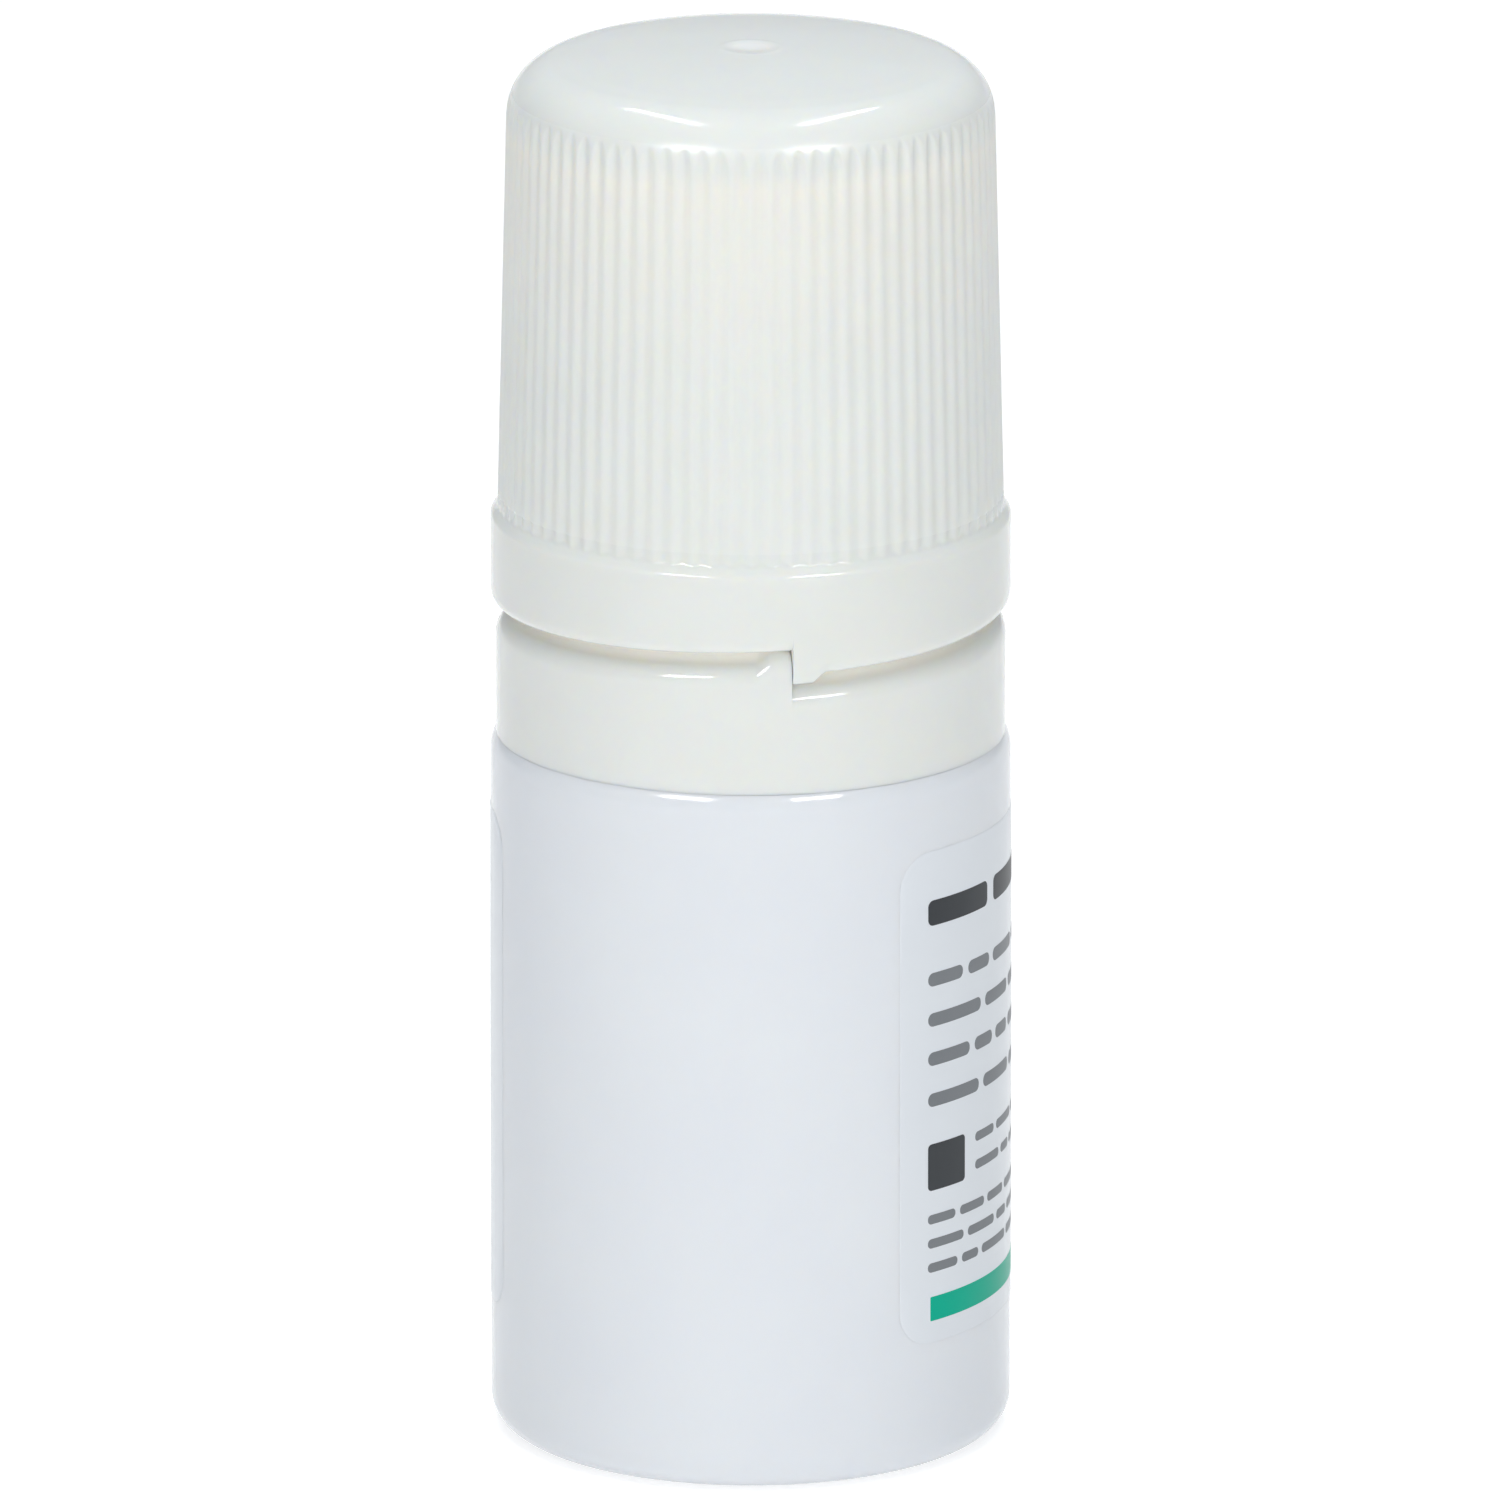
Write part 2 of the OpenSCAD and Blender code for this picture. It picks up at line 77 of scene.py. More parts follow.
# The screw thread, which only these pieces carry
LEAD, STARTS = 4.2, 2
HALF_TURN, THREAD_PITCH = 360 / STARTS, LEAD / STARTS
THREAD_HALF, THREAD_FLANK, THREAD_RUN_OUT = 0.46, 0.24, 1.1
SPOUT_THREAD, SLEEVE_THREAD = 0.55, 0.62
SPOUT_THREAD_LOW, SPOUT_THREAD_HIGH = 44.3, 52.2
SLEEVE_THREAD_LOW, SLEEVE_THREAD_HIGH = 44.4, 50.4

# How finely each piece is divided round the axis, and from which angle on its edges are sharp
COLUMNS_PER_RIB, COLLAR_COLUMNS, BOTTLE_COLUMNS = 10, 480, 240
DROPPER_COLUMNS, SEAL_COLUMNS = 120, 96
STOP_COLUMNS, STOP_CLEAR = (-0.01, 0.01, 0.12, 0.25, 0.42), 0.06
MOULDED_SHARP, INSERT_SHARP, FILM_SHARP = 50, 35, 60


# Shapes


def smooth(x):
    x = min(max(x, 0.0), 1.0)
    return x * x * (3 - 2 * x)


def soft_min(a, b, width):
    """The lower of two values, with the corner between them rounded over a width."""
    h = min(max(0.5 + 0.5 * (b - a) / width, 0.0), 1.0)
    return b + (a - b) * h - width * h * (1 - h)


def soft_max(a, b, width):
    return -soft_min(-a, -b, width)


def even(count):
    return [360 * i / count for i in range(count)]


def spread(a, b, n):
    return [a + (b - a) * i / n for i in range(n + 1)]


def arc(x, y, rx, ry, a, b, n):
    """Points of an elliptic arc, from angle a to angle b."""
    angles = [math.radians(a + (b - a) * i / n) for i in range(n + 1)]
    return [(x + rx * math.cos(t), y + ry * math.sin(t)) for t in angles]


def at(radius, angle, z):
    """A point from its radius, its angle from the front (-Y) towards +X, and its height."""
    a = math.radians(angle)
    return (radius * math.sin(a), -radius * math.cos(a), z)


def mesh_object(name, points, faces, sharp):
    """A closed mesh from points in millimetres, facing outwards."""
    mesh = bpy.data.meshes.new(name)
    mesh.from_pydata([(x * MM, y * MM, z * MM) for x, y, z in points], [], faces)
    volume = 0.0
    for f in faces:
        a = Vector(points[f[0]])
        for i in range(1, len(f) - 1):
            volume += a.dot(Vector(points[f[i]]).cross(Vector(points[f[i + 1]])))
    if volume < 0:
        mesh.flip_normals()
    mesh.shade_smooth()
    mesh.set_sharp_from_angle(angle=math.radians(sharp))
    obj = bpy.data.objects.new(name, mesh)
    bpy.context.scene.collection.objects.link(obj)
    return obj


def spin_ring(name, section_at, angles, sharp):
    """A ring whose section, a closed outline, may change with the angle."""
    sections = [section_at(a) for a in angles]
    n = len(sections[0])
    points, faces = [], []
    for angle, section in zip(angles, sections):
        points += [at(r, angle, z) for r, z in section]
    for k in range(len(angles)):
        a, b = k * n, (k + 1) % len(angles) * n
        for i in range(n):
            j = (i + 1) % n
            faces.append((a + i, a + j, b + j, b + i))
    return mesh_object(name, points, faces, sharp)


def spin_body(name, section_at, angles, sharp):
    """A body of revolution whose section starts and ends on the axis."""
    sections = [section_at(a) for a in angles]
    inner = len(sections[0]) - 2
    points, faces = [(0, 0, sections[0][0][1]), (0, 0, sections[0][-1][1])], []
    for angle, section in zip(angles, sections):
        points += [at(r, angle, z) for r, z in section[1:-1]]
    for k in range(len(angles)):
        a, b = 2 + k * inner, 2 + (k + 1) % len(angles) * inner
        faces.append((0, a, b))
        for i in range(inner - 1):
            faces.append((a + i, a + i + 1, b + i + 1, b + i))
        faces.append((a + inner - 1, 1, b + inner - 1))
    return mesh_object(name, points, faces, sharp)


# The helical mouth: u is the angle past a stop wall, the same for both half turns


def past_stop(angle):
    return (angle - STOP_ANGLE) % HALF_TURN


def helix(u):
    return EDGE_RISE * u / HALF_TURN


def stop_corner(u):
    """How much the corner beside a stop wall is rounded off."""
    return STOP_ROUND * (1 - smooth((u - STOP_PLAY) / STOP_ROUND_SWEEP))


def cap_edge(angle):
    """Height of the cap's edge: a tooth, its slope, then the helix."""
    u = past_stop(angle)
    if u < STOP_PLAY:
        return EDGE_LOW + EDGE_RISE
    full = EDGE_LOW + helix(u)
    low = full - MOUTH_GAP + TOOTH_GAP
    return low + (full - low) * smooth((u - TOOTH_ANGLE) / TOOTH_SLOPE) + stop_corner(u)


def collar_rim(angle):
    """Height of the collar's rim: the helix, a slope, then a tooth that fills the gap."""
    u = past_stop(angle)
    if u > HALF_TURN - STOP_PLAY:
        return EDGE_LOW - MOUTH_GAP
    low = EDGE_LOW - MOUTH_GAP + helix(u)
    back = HALF_TURN - u
    rise = 1 - smooth((back - TOOTH_ANGLE) / TOOTH_SLOPE)
    return low + (MOUTH_GAP - TOOTH_GAP) * rise - stop_corner(back)


def with_stop_columns(angles, wall, side):
    """Extra columns of a spun body that make its stop walls upright and their corners round."""
    near = [side * d for d in STOP_COLUMNS]
    extra = [(wall + k * HALF_TURN + d) % 360 for k in range(STARTS) for d in near]
    kept = [a for a in angles if all(abs(a - e) > STOP_CLEAR for e in extra)]
    return sorted(kept + extra)


def thread(angle, z, phase, low, high):
    """How far the thread stands out, from 0 to 1, at an angle and a height."""
    half = THREAD_PITCH / 2
    d = (z - phase - LEAD * angle / 360 + half) % THREAD_PITCH - half
    height = smooth((THREAD_HALF - abs(d)) / THREAD_FLANK + 0.5)
    return height * smooth((z - low) / THREAD_RUN_OUT) * smooth((high - z) / THREAD_RUN_OUT)


# The cap


def rib_shape(angle):
    """0 on a rib's crest and 1 in the groove between two ribs."""
    pitch = 360 / RIBS
    t = abs((angle + pitch / 2) % pitch - pitch / 2) / (pitch / 2)
    return 0.5 - 0.5 * math.cos(math.pi * t)


def cap_side(angle, z):
    """Radius of the cap's side: the band, the ribs and the foot of the dome in one."""
    slope = (RIB_FOOT_R - RIB_HEAD_R) / (RIB_TOP_Z - BAND_TOP_Z)
    groove = GROOVE + (GROOVE_TOP - GROOVE) * smooth((z - DEEPER_Z) / DEEPER_OVER)
    rib = RIB_FOOT_R - slope * (z - BAND_TOP_Z) - groove * rib_shape(angle)
    if z > DOME_Z:
        rise = min((z - DOME_Z) / DOME_ROUND, 1)
        dome = RIB_HEAD_R - DOME_ROUND + DOME_ROUND * math.sqrt(1 - rise * rise)
        rib = soft_min(rib, dome, DOME_BLEND)
    foot = RIB_FOOT_R - GROOVE
    over = (z - BAND_TOP_Z) / BAND_ROUND_Z
    if over >= 1:
        return rib
    band = foot + (BAND_R - foot) * (1 - smooth(over))
    return soft_max(rib, band, BAND_BLEND)


# Heights at which the side is cut, closest where the ribs run into the dome and the band
SIDE_ROWS = (
    [71.3, 71.2, 71.1, 71.0, 70.9, 70.8, 70.7, 70.55, 70.4, 70.2, 70.0, 69.6, 69.0]
    + spread(67.5, 51.5, 7)
    + [50.4, 50.0, 49.75, 49.62, 49.54, 49.46, 49.38, 49.3, 49.22, 49.14, 49.06, 48.98]
    + [48.9, 48.82, 48.7, 48.4]
)


def crown_section():
    """The top of the cap, from the gate's dimple to the start of the ribs."""
    floor_z = CAP_TOP_Z - GATE_DEPTH
    gate = []
    for r in spread(0, GATE_RIM_R, 13):
        gate.append((r, floor_z + GATE_DEPTH * 0.5 * (1 - math.cos(math.pi * r / GATE_RIM_R))))
    gate[-1] = (gate[-1][0], gate[-1][1] - GATE_LIP)
    crown = []
    for r in (1.9, 2.2, 2.8, 3.6, 4.6, 5.6, 6.6, 7.5, 8.3, 9.0, 9.5):
        crown.append((r, CAP_TOP_Z - CROWN_R + math.sqrt(CROWN_R**2 - r**2)))
    dome_x = RIB_HEAD_R - DOME_ROUND
    low = math.degrees(math.asin((SIDE_ROWS[0] + 0.1 - DOME_Z) / DOME_ROUND))
    dome = arc(dome_x, DOME_Z, DOME_ROUND, DOME_ROUND, 90 - CROWN_LEAN, low, 14)
    return gate + crown + dome


def skirt_inside():
    """The inside of the skirt and the outside of the sleeve, down to the sleeve's mouth."""
    foot_r = RIB_FOOT_R - GROOVE - SKIRT_WALL
    wall_r = RIB_HEAD_R - GROOVE - SKIRT_WALL - CEILING_ROUND
    out_r = SLEEVE_R + SLEEVE_WALL
    side = [(BAND_R - BAND_WALL, BAND_TOP_Z - 0.6), (BAND_R - BAND_WALL - 0.04, BAND_TOP_Z - 0.35)]
    side += [(foot_r + 0.05, BAND_TOP_Z + 0.7), (foot_r, BAND_TOP_Z + 1.0)]
    side += arc(wall_r, CEILING_Z - CEILING_ROUND, CEILING_ROUND, CEILING_ROUND, 0, 90, 6)
    side += [(out_r + DRAFT, CEILING_Z), (out_r + 0.03, SLEEVE_LOW_Z + 3)]
    side += [(out_r, SLEEVE_LOW_Z + 0.45), (out_r - 0.05, SLEEVE_LOW_Z + 0.2)]
    side += [(out_r - 0.2, SLEEVE_LOW_Z), (SLEEVE_R + 0.22, SLEEVE_LOW_Z)]
    side += [(SLEEVE_R + 0.07, SLEEVE_LOW_Z + 0.1), (SLEEVE_R, SLEEVE_LOW_Z + 0.3)]
    return side


def socket_section():
    """The ceiling and the socket that holds the seal, from the sleeve to the axis."""
    out_r = SOCKET_R + SOCKET_WALL
    section = [(SLEEVE_R, CEILING_Z - 0.3), (SLEEVE_R - 0.3, CEILING_Z)]
    section += [(out_r + DRAFT + 0.3, CEILING_Z), (out_r + DRAFT, CEILING_Z - 0.3)]
    section += [(out_r, SOCKET_LOW_Z + 0.4), (out_r - 0.06, SOCKET_LOW_Z + 0.12)]
    section += [(out_r - 0.2, SOCKET_LOW_Z), (SOCKET_R + 0.2, SOCKET_LOW_Z)]
    section += [(SOCKET_R, SOCKET_LOW_Z + 0.3), (SOCKET_R, CEILING_Z), (0, CEILING_Z)]
    return section


CROWN, SKIRT_INSIDE, SOCKET = crown_section(), skirt_inside(), socket_section()
SLEEVE_ROWS = spread(SLEEVE_LOW_Z + 0.5, SLEEVE_THREAD_HIGH + 0.2, 46)


def cap_section(angle):
    edge = cap_edge(angle)
    inner_r = BAND_R - BAND_WALL
    section = CROWN + [(cap_side(angle, z), z) for z in SIDE_ROWS]
    section += [(BAND_R, edge + (SIDE_ROWS[-1] - edge) * t) for t in (0.85, 0.55)]
    section += arc(
        BAND_R - EDGE_ROUND_R, edge + EDGE_ROUND_Z, EDGE_ROUND_R, EDGE_ROUND_Z, 0, -90, 9
    )
    section += [(inner_r + 0.12, edge), (inner_r + 0.03, edge + 0.04), (inner_r, edge + 0.14)]
    section += SKIRT_INSIDE
    for z in SLEEVE_ROWS:
        t = thread(angle, z, THREAD_PITCH / 2, SLEEVE_THREAD_LOW, SLEEVE_THREAD_HIGH)
        section.append((SLEEVE_R - SLEEVE_THREAD * t, z))
    return section + SOCKET


def make_cap():
    angles = with_stop_columns(even(RIBS * COLUMNS_PER_RIB), STOP_ANGLE + STOP_PLAY, 1)
    return spin_body("cap_moulding", cap_section, angles, MOULDED_SHARP)


# The collar

# The cove between rim and upstand, as steps outwards from the upstand and up from the rim
COVE = ((0.42, -0.05), (0.3, 0.02), (0.19, 0.12), (0.1, 0.24), (0.04, 0.37), (0.0, 0.52))
SPOUT_ROWS = spread(DECK_Z + 0.75, SPOUT_TOP_Z - 0.55, 60)


def collar_outside(rim, low_z):
    """The wall, the rounded rim and the cove, up to the foot of the upstand."""
    side = [(COLLAR_R - 0.06, low_z), (COLLAR_R - 0.001, low_z)]
    side += [(COLLAR_R, low_z + (rim - low_z) * t) for t in (0.3, 0.55)]
    side += arc(COLLAR_R - RIM_ROUND_R, rim - RIM_ROUND_Z, RIM_ROUND_R, RIM_ROUND_Z, 0, 66, 8)
    return side + [(UPSTAND_R + out, rim + up) for out, up in COVE]


def upstand_section():
    """The ring that stands on the deck, and the deck up to the spout."""
    inner_r = UPSTAND_R - UPSTAND_WALL
    a, b = UPSTAND_ROUND, UPSTAND_INNER_ROUND
    section = arc(UPSTAND_R - a, UPSTAND_TOP_Z - a, a, a, 0, 90, 4)
    section += arc(inner_r + b, UPSTAND_TOP_Z - b, b, b, 90, 180, 3)
    section += [(inner_r, DECK_Z + 0.2), (inner_r - 0.06, DECK_Z + 0.06)]
    section += [(inner_r - 0.2, DECK_Z), (SPOUT_R + 0.5, DECK_Z)]
    section += [(SPOUT_R + 0.15, DECK_Z + 0.12), (SPOUT_R, DECK_Z + 0.45)]
    return section


def spout_top():
    a = SPOUT_ROUND
    section = arc(SPOUT_R - a, SPOUT_TOP_Z - a, a, a, 0, 90, 5)
    section += [(SPOUT_BORE_R + 0.2, SPOUT_TOP_Z), (SPOUT_BORE_R + 0.05, SPOUT_TOP_Z - 0.05)]
    section += [(SPOUT_BORE_R, SPOUT_TOP_Z - 0.2)]
    return section


def collar_underside(low_z):
    """Below the deck: the catch ring that holds the neck's bead, and the wall's inside."""
    inner_r = COLLAR_R - COLLAR_WALL
    deck_low = DECK_Z - DECK_T
    lip_z = CATCH_LOW_Z + CATCH_LIP_T
    section = [(SPOUT_BORE_R, deck_low), (CATCH_IN_R, deck_low), (CATCH_IN_R, lip_z)]
    section += [(NECK_R + 0.1, lip_z - 0.15), (NECK_R + 0.1, CATCH_LOW_Z)]
    section += [(CATCH_OUT_R - 0.3, CATCH_LOW_Z), (CATCH_OUT_R, lip_z), (CATCH_OUT_R, deck_low)]
    section += [(inner_r, deck_low), (inner_r, low_z + 0.12), (inner_r + 0.12, low_z)]
    return section


def collar_section(angle):
    low_z = LEDGE_Z + COLLAR_LIFT
    section = collar_outside(collar_rim(angle), low_z) + upstand_section()
    for z in SPOUT_ROWS:
        t = thread(angle, z, 0, SPOUT_THREAD_LOW, SPOUT_THREAD_HIGH)
        section.append((SPOUT_R + SPOUT_THREAD * t, z))
    return section + spout_top() + collar_underside(low_z)


def make_collar():
    angles = with_stop_columns(even(COLLAR_COLUMNS), STOP_ANGLE - STOP_PLAY, -1)
    return spin_ring("collar_moulding", collar_section, angles, MOULDED_SHARP)


# The bottle


def bottle_side(z):
    """Radius of the bottle's side, which tapers a little towards the shoulder."""
    return BOTTLE_R + (BOTTLE_TOP_R - BOTTLE_R) * (z / SHOULDER_Z) ** 3


def bottle_outside(corner_x, foot_x):
    """From the axis under the hollow base to the ledge that the collar sits on."""
    shoulder_x = BOTTLE_TOP_R - SHOULDER_R
    lean = math.degrees(math.acos((COLLAR_R - shoulder_x) / SHOULDER_R))
    section = [(0, BASE_HOLLOW), (foot_x - 2.4, BASE_HOLLOW - 0.02)]
    section += [(foot_x - 1.2, BASE_HOLLOW - 0.13), (foot_x - 0.75, BASE_HOLLOW - 0.32)]
    section += [(foot_x - 0.4, 0.16), (foot_x - 0.1, 0.02), (foot_x + 0.2, 0)]
    section += arc(corner_x, BASE_ROUND, BASE_ROUND, BASE_ROUND, -90, 0, 16)
    section += [(BOTTLE_R - 0.001, z) for z in (2.6, 4.5)]
    section += [(bottle_side(z), z) for z in (7, 12, 17, 21, 25, 28, 31, 33.5, 35.4)]
    section += arc(shoulder_x, SHOULDER_Z, SHOULDER_R, SHOULDER_R, 0, lean, 12)
    return section + [(COLLAR_R - 0.1, LEDGE_Z), (11, LEDGE_Z)]


def neck_section():
    """The neck with the bead that the collar snaps over, and its bore."""
    section = [(NECK_R + 0.7, LEDGE_Z + 0.12)]
    section += [(NECK_R + 0.15, LEDGE_Z + 0.35), (NECK_R, LEDGE_Z + 0.8)]
    section += [(NECK_R, BEAD_LOW_Z), (BEAD_R - 0.1, BEAD_LOW_Z + 0.2)]
    section += [(BEAD_R, BEAD_LOW_Z + 0.32), (BEAD_R, BEAD_HIGH_Z - 0.45)]
    section += [(BEAD_R - 0.08, BEAD_HIGH_Z - 0.33), (NECK_R, BEAD_HIGH_Z)]
    section += [(NECK_R, NECK_TOP_Z - NECK_BREAK), (NECK_R - NECK_BREAK, NECK_TOP_Z)]
    section += [(NECK_BORE_R + NECK_BREAK, NECK_TOP_Z), (NECK_BORE_R, NECK_TOP_Z - NECK_BREAK)]
    section += [(NECK_BORE_R, LEDGE_Z - 0.2), (NECK_BORE_R + 0.2, LEDGE_Z - 0.6)]
    return section


def bottle_section():
    corner_x = BOTTLE_R - BASE_ROUND
    foot_x = corner_x - FOOT_WIDTH
    inner_r = BOTTLE_R - BOTTLE_WALL
    low = BASE_HOLLOW + BOTTLE_WALL
    section = bottle_outside(corner_x, foot_x) + neck_section()
    a, b = SHOULDER_INNER_R, BASE_INNER_ROUND
    section += arc(inner_r - 1.6, SHOULDER_Z - 1.3, a, a, 78, 0, 8)
    section += arc(inner_r - b, low + b, b, b, 0, -90, 8)
    return section + [(foot_x - 1, low - 0.1), (0, low)]


def make_bottle():
    outline = bottle_section()
    return spin_body("bottle_body", lambda angle: outline, even(BOTTLE_COLUMNS), MOULDED_SHARP)


# The label, and thin printed shapes on it

EDGE_STEPS = (0.25, 0.5, 0.75, 1)
CORNER_ANGLES = (6, 18, 32, 46, 60, 74, 90)
COLUMN_STEP = 2.0


def sweep_of(length):
    """The angle of a length in millimetres round the bottle."""
    return math.degrees(length / BOTTLE_R)


def curved_film(name, columns, lift, thick, edge=0.0):
    """A closed thin film that follows the bottle's side. Each column is (angle, heights).

    Where an edge is given, the film thins out towards its rim over that width."""
    n, m = len(columns[0][1]), len(columns)
    points, faces = [], []
    first, last = columns[0][0], columns[-1][0]
    for top in (False, True):
        for angle, heights in columns:
            for z in heights:
                out = lift
                if top:
                    inward = min(z - heights[0], heights[-1] - z)
                    side = math.radians(min(angle - first, last - angle)) * BOTTLE_R
                    full = smooth(min(inward, side) / edge) if edge else 1
                    out += thick * (0.25 + 0.75 * full)
                points.append(at(bottle_side(z) + out, angle, z))
    back = n * m
    for k in range(m - 1):
        for i in range(n - 1):
            a = k * n + i
            faces.append((a, a + 1, a + n + 1, a + n))
            faces.append((back + a, back + a + n, back + a + n + 1, back + a + 1))
    rim = [i for i in range(n)] + [k * n + n - 1 for k in range(1, m)]
    rim += [(m - 1) * n + i for i in range(n - 2, -1, -1)] + [k * n for k in range(m - 2, 0, -1)]
    for i, a in enumerate(rim):
        b = rim[(i + 1) % len(rim)]
        faces.append((a, back + a, back + b, b))
    return mesh_object(name, points, faces, FILM_SHARP)


def round_ended(start, sweep, low, high, corner, rows, edge=0.0):
    """Columns of a film with rounded corners, closer together in the corners."""
    end = start + sweep
    corner_angle = sweep_of(corner)
    near = [corner * (1 - math.cos(math.radians(a))) for a in CORNER_ANGLES]
    fine = [edge * t for t in EDGE_STEPS] if edge else []
    near = sorted(near + fine)
    angles = [start + sweep_of(d) for d in near]
    inside = max(int((sweep - 2 * corner_angle) / COLUMN_STEP), 1)
    angles += spread(start + corner_angle, end - corner_angle, inside)[1:-1]
    angles += [end - sweep_of(d) for d in reversed(near)]
    columns = []
    for angle in angles:
        s = math.radians(min(angle - start, end - angle)) * BOTTLE_R
        cut = corner - math.sqrt(max(corner**2 - max(corner - s, 0) ** 2, 0))
        a, b = low + cut, high - cut
        heights = [a] + [a + d for d in fine]
        heights += spread(heights[-1], b - (fine[-1] if fine else 0), rows)[1:]
        heights += [b - d for d in reversed(fine)][1:] + ([b] if fine else [])
        columns.append((angle, heights))
    return columns


def make_label():
    columns = round_ended(
        LABEL_START, LABEL_SWEEP, LABEL_LOW, LABEL_HIGH, LABEL_CORNER, 10, LABEL_EDGE
    )
    return curved_film("label_film", columns, LABEL_LIFT, LABEL_T, LABEL_EDGE)


# The print: plain bars in place of words, a block and a stripe

INK_T, PRINT_START, PRINT_END, HEADING_END = 0.008, 42.5, 260.0, 128
BLOCK, BLOCK_LOW, BLOCK_HIGH, BLOCK_CORNER = 2.9, 15.2, 17.7, 0.25
STRIPE_INSET, STRIPE_LOW, STRIPE_HIGH, STRIPE_CORNER = 0.8, 8.18, 9.48, 0.05
HEADING_Z, TEXT_ROWS, SMALL_ROWS = 29.4, (26.15, 24.0, 21.9, 19.7), (13.4, 12.1, 10.8)
BESIDE_BLOCK_ROWS, BESIDE_BLOCK_SPACE = (17.0, 15.5), 1.0

# Kinds of bar: the height, the shortest and the longest length, and the space to the next bar
HEADING_BARS = (1.35, 3.2, 6.4, 0.8)
TEXT_BARS = (0.72, 1.8, 4.6, 0.5)
SMALL_BARS = (0.5, 1.5, 3.6, 0.4)


def merged(name, pieces):
    """One object from several meshes."""
    points, faces = [], []
    for piece in pieces:
        base = len(points)
        points += [tuple(v.co / MM) for v in piece.data.vertices]
        faces += [tuple(base + i for i in p.vertices) for p in piece.data.polygons]
        mesh = piece.data
        bpy.data.objects.remove(piece)
        bpy.data.meshes.remove(mesh)
    return mesh_object(name, points, faces, FILM_SHARP)


def bar(start, length, low, high, corner):
    """A printed bar with rounded ends. Its length is in millimetres round the label."""
    columns = round_ended(start, sweep_of(length), low, high, corner, 3)
    return curved_film("bar", columns, LABEL_LIFT + LABEL_T, INK_T)


def line_of_bars(rng, start, end, low, kind):
    """Plain bars of uneven length in place of one line of print."""
    tall, shortest, longest, space = kind
    corner = min(tall / 2 - 0.01, 0.35)
    bars = []
    angle = start
    while True:
        length = rng.uniform(shortest, longest)
        if angle + sweep_of(length) > end:
            return bars
        bars.append(bar(angle, length, low, low + tall, corner))
        angle += sweep_of(length + space)


def make_stripe():
    length = math.radians(PRINT_END - PRINT_START - STRIPE_INSET) * BOTTLE_R
    stripe = bar(PRINT_START + STRIPE_INSET, length, STRIPE_LOW, STRIPE_HIGH, STRIPE_CORNER)
    return merged("print_stripe", [stripe])


def make_heading():
    """A tall first line and a plain block, darker than the rest."""
    rng = random.Random(5)
    bars = line_of_bars(rng, PRINT_START, HEADING_END, HEADING_Z, HEADING_BARS)
    bars.append(bar(PRINT_START, BLOCK, BLOCK_LOW, BLOCK_HIGH, BLOCK_CORNER))
    return merged("print_heading", bars)


def make_print():
    rng = random.Random(7)
    beside_block = PRINT_START + sweep_of(BLOCK + BESIDE_BLOCK_SPACE)
    lines = [(PRINT_START, low, TEXT_BARS) for low in TEXT_ROWS]
    lines += [(beside_block, low, SMALL_BARS) for low in BESIDE_BLOCK_ROWS]
    lines += [(PRINT_START, low, SMALL_BARS) for low in SMALL_ROWS]
    bars = []
    for start, low, kind in lines:
        bars += line_of_bars(rng, start, PRINT_END, low, kind)
    return merged("print_lines", bars)


# The dropper and the seal


def dropper_section():
    low_z = NECK_TOP_Z + 0.23
    top = DECK_Z - DECK_T - FIT
    shoulder_z = SPOUT_TOP_Z + 0.3
    bulge_x = STEM_R - 0.2
    section = [(CHAMBER_R, low_z), (SEAT_R - FIT, low_z), (SEAT_R - FIT, top), (BARREL_R, top)]
    section += [(BARREL_R, SPOUT_TOP_Z - 3)]
    section += arc(bulge_x, shoulder_z, BARREL_R - STEM_R + 0.2, STEM_Z - shoulder_z, 0, 60, 12)
    section += [(STEM_R + 0.75, STEM_Z - 0.22), (STEM_R + 0.5, STEM_Z - 0.04)]
    section += [(STEM_R + 0.27, STEM_Z + 0.22), (STEM_R + 0.11, STEM_Z + 0.55)]
    section += [(STEM_R, STEM_Z + 0.95), (STEM_R - 0.1, STEM_Z + 1.4)]
    section += [(STEM_R - 0.45, STEM_Z + 3)]
    section += arc(TIP_R - TIP_ROUND, TIP_Z - TIP_ROUND, TIP_ROUND, TIP_ROUND, 0, 90, 9)
    section += [(OUTLET_R + 0.5, TIP_Z), (OUTLET_R + 0.33, TIP_Z - 0.04)]
    section += [(OUTLET_R + 0.02, TIP_Z - 0.32), (OUTLET_R, TIP_Z - 0.4), (OUTLET_R, TIP_Z - 1.1)]
    section += [(CHANNEL_R, TIP_Z - 1.6), (CHANNEL_R, STEM_Z), (CHANNEL_R + 0.4, STEM_Z - 1.2)]
    return section + [(CHAMBER_R, CHAMBER_TOP_Z)]


def make_dropper():
    outline = dropper_section()
    return spin_ring(
        "dropper_moulding", lambda angle: outline, even(DROPPER_COLUMNS), INSERT_SHARP
    )


def seal_section():
    """The soft plug: a cup that fits over the dropper's tip, and its plain outside."""
    plug_r = SOCKET_R - FIT
    top_z = CEILING_Z - SEAL_ROOM
    roof_z = TIP_Z + TIP_PLAY
    around = TIP_ROUND + TIP_PLAY
    section = [(0, roof_z - 0.25), (OUTLET_R - 0.12, roof_z - 0.25), (OUTLET_R + 0.1, roof_z)]
    section += arc(TIP_R - TIP_ROUND, TIP_Z - TIP_ROUND, around, around, 90, 0, 8)
    section += [(TIP_R + 0.08, SEAL_LOW_Z + 0.1), (TIP_R + 0.2, SEAL_LOW_Z)]
    section += [(plug_r - SEAL_BREAK, SEAL_LOW_Z), (plug_r, SEAL_LOW_Z + SEAL_BREAK)]
    section += [(plug_r, top_z - 0.4), (plug_r - SEAL_BREAK, top_z - SEAL_BREAK)]
    return section + [(plug_r - 0.4, top_z), (0, top_z)]


